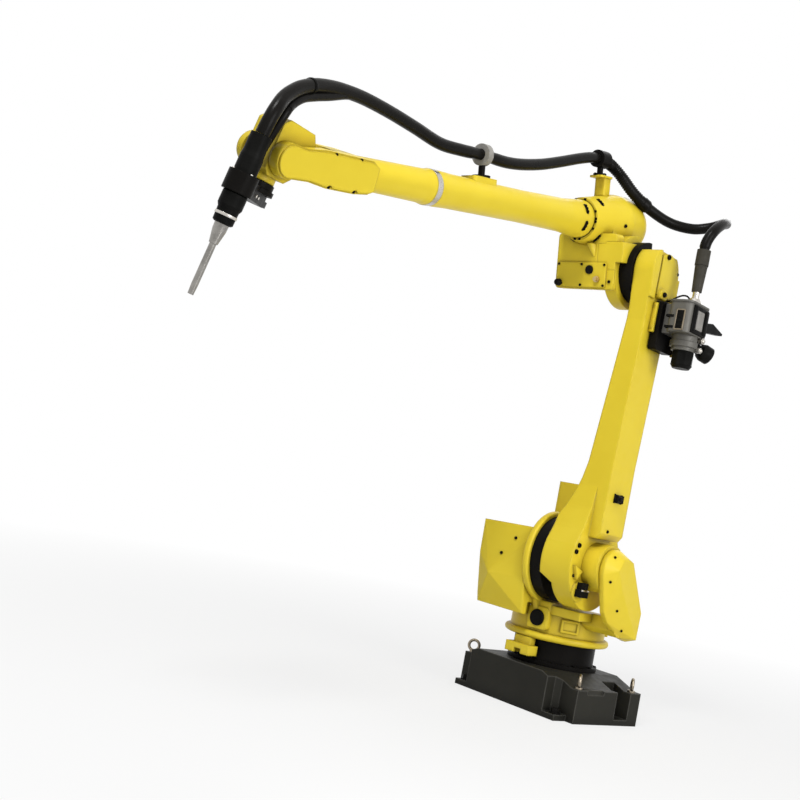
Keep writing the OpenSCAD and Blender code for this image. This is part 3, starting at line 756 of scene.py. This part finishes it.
def make_feeder_bar(name, low, high, edge, inset, slot, material=None):
    """Upright bar beside the feeder with a screw near each end of its front."""
    (_, y0, z0), (front, y1, z1) = low, high
    bm = bmesh.new()
    slab(bm, low, high, edge)
    for z in (z0 + inset, z1 - inset):
        screw(bm, spot(front, (y0 + y1) / 2, z) @ TO_FRONT, radius=4)
    piece(name, "arm", bm, SHOULDER, slot, material)


def make_feeder_bars():
    make_feeder_bar("feeder_rail", (31, 279, 915), (45, 299, 1030), edge=3, inset=15, slot="yellow_paint")
    make_feeder_bar("feeder_strip", (-96, 314, 846), (-88, 352, 925), edge=2, inset=11, slot="bright_steel",
                    material=WORN_STEEL)


def make_gusset():
    """Small fin under the barrel on the front of the elbow box."""
    root_x = 148
    root = [(root_x, 14, -90), (root_x, 58, -90), (root_x, 58, -142), (root_x, 44, -142)]
    ridge = [(172, 26, -88), (172, 44, -88), (153, 54, -138), (153, 48, -138)]
    bm = bmesh.new()
    skin(bm, [[bm.verts.new(corner) for corner in outline] for outline in (root, ridge)])
    soften(bm, bm.edges[:], offset=3)
    piece("box_gusset", "elbow", bm, FOREARM, "yellow_paint")


# Dress hose, second lead and feeder cable
def curve_point(before, start, end, after, t):
    """Point of a smooth curve through its knots, at a share t of the way from start to end."""
    return 0.5 * (2 * start + (end - before) * t + (2 * before - 5 * start + 4 * end - after) * t * t
                  + (3 * start - before - 3 * end + after) * t * t * t)


def smooth_route(points, steps=ROUTE_STEPS):
    """Smooth curve through points, with a few steps between each two."""
    knots = [Vector(point) for point in points]
    last = len(knots) - 1
    route = []
    for i in range(last):
        around = (knots[max(i - 1, 0)], knots[i], knots[i + 1], knots[min(i + 2, last)])
        route += [curve_point(*around, k / steps) for k in range(steps)]
    return route + [knots[last]]


def resample(route, step):
    """Points a fixed step apart along a route, ending on its last point."""
    even = [route[0]]
    ahead = step
    for start, end in zip(route, route[1:]):
        reach = (end - start).length
        while ahead <= reach:
            even.append(start.lerp(end, ahead / reach))
            ahead += step
        ahead -= reach
    if (even[-1] - route[-1]).length < step / 2:
        even.pop()
    return even + [route[-1]]


def tube(route, radii, sides=TUBE_SIDES):
    """Round tube along a route, with its length in metres as a map for the streaks."""
    bm = bmesh.new()
    length_map = bm.loops.layers.uv.new("length_map")
    angles = [2 * math.pi * k / sides for k in range(sides)]
    side = Vector((0, 1, 0))
    run = 0.0
    rings = []
    for i, point in enumerate(route):
        along = (route[min(i + 1, len(route) - 1)] - route[max(i - 1, 0)]).normalized()
        side = (side - side.dot(along) * along).normalized()
        up = along.cross(side)
        if i:
            run += (point - route[i - 1]).length * MM
        made = [bm.verts.new(point + radii[i] * (math.cos(angle) * side + math.sin(angle) * up))
                for angle in angles]
        rings.append((made, run))
    for (first, start), (second, end) in zip(rings, rings[1:]):
        for k in range(sides):
            n = (k + 1) % sides
            face = bm.faces.new((first[k], first[n], second[n], second[k]))
            for loop, value in zip(face.loops, (start, start, end, end)):
                loop[length_map].uv = (k / sides, value)
    bm.faces.new(list(reversed(rings[0][0])))
    bm.faces.new(rings[-1][0])
    return bm


def first_past(route, x):
    """Index of the first point of a route beyond a station."""
    return next(i for i, point in enumerate(route) if point.x > x)


def hose_piece(name, route, place, radius, nodes_replaced=(), radii=None):
    """A stretch of hose or lead drawn as a tube that rides on no body, hiding the frame's parts that it
    replaces.
    """
    bm = tube(route, radii or [radius] * len(route))
    made = piece(name, None, bm, place, "black_rubber", HOSE, TUBE_SHARP_DEGREES)
    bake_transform(made)
    if nodes_replaced:
        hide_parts(*nodes_replaced)
    return made


def conduit_radius(run):
    """Radius of the rear hose: ribbed conduit, then a coupling, then smooth jacket."""
    ribbed = 225
    rib_pitch = 10
    rib_middle, rib_height = 1.5, 1.4
    coupling = 44
    collar = 8
    collar_rise, nut_rise = 3, 6
    smooth_end = 900
    if run < ribbed:
        return HOSE_R + rib_middle + rib_height * math.cos(2 * math.pi * run / rib_pitch)
    if run < ribbed + coupling:
        return HOSE_R + (nut_rise if collar < run - ribbed < coupling - collar else collar_rise)
    return HOSE_R if run < smooth_end else HELD_R


def jacket_radius(point):
    """Radius of the front hose: a little less where the saddle and the ring clamp hold it."""
    grip = 32
    taper = 40
    held = min(abs(point.x - station) for station in (SADDLE_X, RING_CLAMP_X))
    return HELD_R + (HOSE_R - HELD_R) * min(1.0, max(0.0, (held - grip) / taper))


def make_front_hose():
    """Hose from the saddle to the torch, cut where it passes to the next joint."""
    front = smooth_route(FRONT_ROUTE)
    first_cut = first_past(front, ROLL_SPAN[1].x)
    second_cut = first_past(front, BEND_SPAN[1].x)
    forearm_run = front[:first_cut + 1]
    wrist_run = front[first_cut:second_cut + 1]
    torch_run = front[second_cut:]
    hose_piece("dress_hose_forearm", forearm_run, FOREARM, HOSE_R,
               ["hose_front"], [jacket_radius(point) for point in forearm_run])
    end = hose_piece("dress_hose_torch", torch_run, FOREARM, HOSE_R)
    hose_piece("dress_hose_wrist", wrist_run, FOREARM, HOSE_R)


def make_rear_hose():
    """Hose from the saddle round to the feeder, in a loop."""
    rib_step = 2.5
    rear = resample(smooth_route(REAR_ROUTE), rib_step)
    radii = [conduit_radius(rib_step * i) for i in range(len(rear))]
    hose_piece("dress_hose_rear", rear, SHOULDER, HOSE_R,
               ["hose_rear"], radii)


def make_lead():
    """Second lead, from inside the dress hose's outline to its socket in the torch bracket."""
    into_forearm = FOREARM.inverted() @ TORCH
    ends = [into_forearm @ (Vector(point) * MM) / MM for point in LEAD_END]
    route = smooth_route(LEAD_ROUTE + [tuple(point) for point in ends])
    cut = first_past(route, LEAD_SPAN[1].x)
    torch_run = route[cut:]
    hose_piece("wrist_lead", route[:cut + 1], FOREARM, LEAD_R)
    hose_piece("torch_lead", torch_run, FOREARM, LEAD_R)


def make_feeder_cable():
    """Thin control cable looping from the lower arm to the fitting on the feeder."""
    cable_r = 3.5
    route = smooth_route(CABLE_ROUTE)
    bm = tube(route, [cable_r] * len(route), sides=12)
    made = piece("feeder_cable", "arm", bm, SHOULDER, "black_rubber", HOSE, TUBE_SHARP_DEGREES)


def make_hose_ferrule():
    """Grooved sleeve on the saddle that joins the front hose and the rear hose."""
    inner_r, groove_r, outer_r, edge_r = 18, 25, 26, 24
    half = 10
    chamfer = 2
    groove = 2
    shoulder = 3
    back_half = [(inner_r, -half), (edge_r, -half), (outer_r, chamfer - half), (outer_r, -shoulder),
                 (groove_r, -groove)]
    front_half = [(radius, -height) for radius, height in reversed(back_half)]
    at = spot(45, 0, 244) @ TO_FRONT
    bm = bmesh.new()
    lathe(bm, at, back_half + front_half, loop=True)
    piece("hose_ferrule", "elbow", bm, FOREARM, "black_plastic")


def make_hose_tie():
    """Strap round the dress hose, above the second lead."""
    inner, outer, half = HOSE_R - 1, HOSE_R + 2, 5
    crown = 0.5
    profile = [(inner, -half), (outer, -half), (outer + crown, 0), (outer, half), (inner, half)]
    front = smooth_route(FRONT_ROUTE)
    i = first_past(front, TIE_X)
    bm = bmesh.new()
    lathe(bm, stand(front[i], front[i + 1] - front[i - 1]), profile, loop=True)
    made = piece("hose_tie", None, bm, FOREARM, "black_plastic")
    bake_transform(made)


# Floor, backdrop and light
def make_stage():
    floor_reach = 40
    bm = bmesh.new()
    bmesh.ops.create_grid(bm, x_segments=1, y_segments=1, size=floor_reach)
    mesh = bpy.data.meshes.new("studio_floor")
    bm.to_mesh(mesh)
    bm.free()
    floor = bpy.data.objects.new("studio_floor", mesh)
    bpy.context.scene.collection.objects.link(floor)
    mesh.materials.append(floor_material())


def seen_rays(tree):
    """1 for rays that show the surround: from the camera, in reflections and through glass."""
    rays = tree.nodes.new("ShaderNodeLightPath")
    total = rays.outputs["Is Camera Ray"]
    for name in ("Is Glossy Ray", "Is Transmission Ray"):
        either = tree.nodes.new("ShaderNodeMath")
        either.operation = "MAXIMUM"
        tree.links.new(total, either.inputs[0])
        tree.links.new(rays.outputs[name], either.inputs[1])
        total = either.outputs[0]
    return total


def floor_material():
    """Pale floor that keeps the object's shadow near it and fades to white away from it."""
    fade_start, fade_end = 1.0, 4.5
    white_near = 0.75
    material = bpy.data.materials.new("pale_floor")
    material.use_nodes = True
    tree = material.node_tree
    shader = tree.nodes["Principled BSDF"]
    shader.inputs["Base Color"].default_value = (0.78, 0.78, 0.77, 1)
    shader.inputs["Roughness"].default_value = 0.9
    glow = tree.nodes.new("ShaderNodeEmission")
    glow.inputs["Color"].default_value = (1, 1, 1, 1)
    place = tree.nodes.new("ShaderNodeTexCoord")
    reach = tree.nodes.new("ShaderNodeVectorMath")
    reach.operation = "LENGTH"
    fade = tree.nodes.new("ShaderNodeMapRange")
    fade.inputs["From Min"].default_value = fade_start
    fade.inputs["From Max"].default_value = fade_end
    fade.inputs["To Min"].default_value = white_near
    share = tree.nodes.new("ShaderNodeMath")
    share.operation = "MULTIPLY"
    tree.links.new(place.outputs["Object"], reach.inputs[0])
    tree.links.new(reach.outputs["Value"], fade.inputs["Value"])
    tree.links.new(fade.outputs["Result"], share.inputs[1])
    mixer = tree.nodes.new("ShaderNodeMixShader")
    tree.links.new(seen_rays(tree), share.inputs[0])
    tree.links.new(share.outputs[0], mixer.inputs["Fac"])
    tree.links.new(shader.outputs["BSDF"], mixer.inputs[1])
    tree.links.new(glow.outputs["Emission"], mixer.inputs[2])
    tree.links.new(mixer.outputs["Shader"], tree.nodes["Material Output"].inputs["Surface"])
    return material


def make_world():
    """Soft pale light on the object, before a white backdrop."""
    world = bpy.data.worlds.new("studio")
    bpy.context.scene.world = world
    world.use_nodes = True
    tree = world.node_tree
    soft = tree.nodes["Background"]
    soft.inputs["Color"].default_value = (0.95, 0.97, 1.0, 1)
    soft.inputs["Strength"].default_value = 0.18
    white = tree.nodes.new("ShaderNodeBackground")
    white.inputs["Color"].default_value = (1, 1, 1, 1)
    white.inputs["Strength"].default_value = 1.0
    mixer = tree.nodes.new("ShaderNodeMixShader")
    tree.links.new(seen_rays(tree), mixer.inputs["Fac"])
    tree.links.new(soft.outputs["Background"], mixer.inputs[1])
    tree.links.new(white.outputs["Background"], mixer.inputs[2])
    tree.links.new(mixer.outputs["Shader"], tree.nodes["World Output"].inputs["Surface"])


def softbox(name, place, target, size, watts):
    """Square lamp that faces a target."""
    data = bpy.data.lights.new(name, "AREA")
    data.energy = watts
    data.size = size
    lamp = bpy.data.objects.new(name, data)
    lamp.location = place
    lamp.rotation_euler = (Vector(target) - Vector(place)).to_track_quat("-Z", "Y").to_euler()
    bpy.context.scene.collection.objects.link(lamp)


def make_lights():
    middle = (0.7, 0.2, 1.2)
    riser_foot = (0.2, 0.1, 0.1)
    softbox("key", (3.8, 2.0, 6.2), middle, size=1.5, watts=238)
    softbox("side_fill", (0.4, 6.0, 2.0), middle, size=3.0, watts=185)
    softbox("low_fill", (1.7, 1.6, 0.3), riser_foot, size=0.8, watts=3)
    softbox("back_rim", (-4.0, -2.0, 4.5), middle, size=2.5, watts=60)


make_camera()
make_front_hose()
make_rear_hose()
make_lead()
make_feeder_cable()
finish_nodes()
make_anchor_bolts()
make_column_screws()
make_turret_screws()
make_boss_web()
make_arm_screws()
make_elbow_screws()
make_saddle_screws()
make_slot_shade_and_bolts()
make_prong_screws()
make_torch_band()
make_bracket_screws()
make_arm_socket()
make_connector_clip()
make_feeder_frame()
make_feeder_window()
make_feeder_cover()
make_feeder_plain_plate()
make_feeder_tension_screws()
make_feeder_bars()
make_gusset()
make_hose_ferrule()
make_hose_tie()
make_stage()
make_world()
make_lights()
bpy.context.scene.view_settings.view_transform = "Standard"
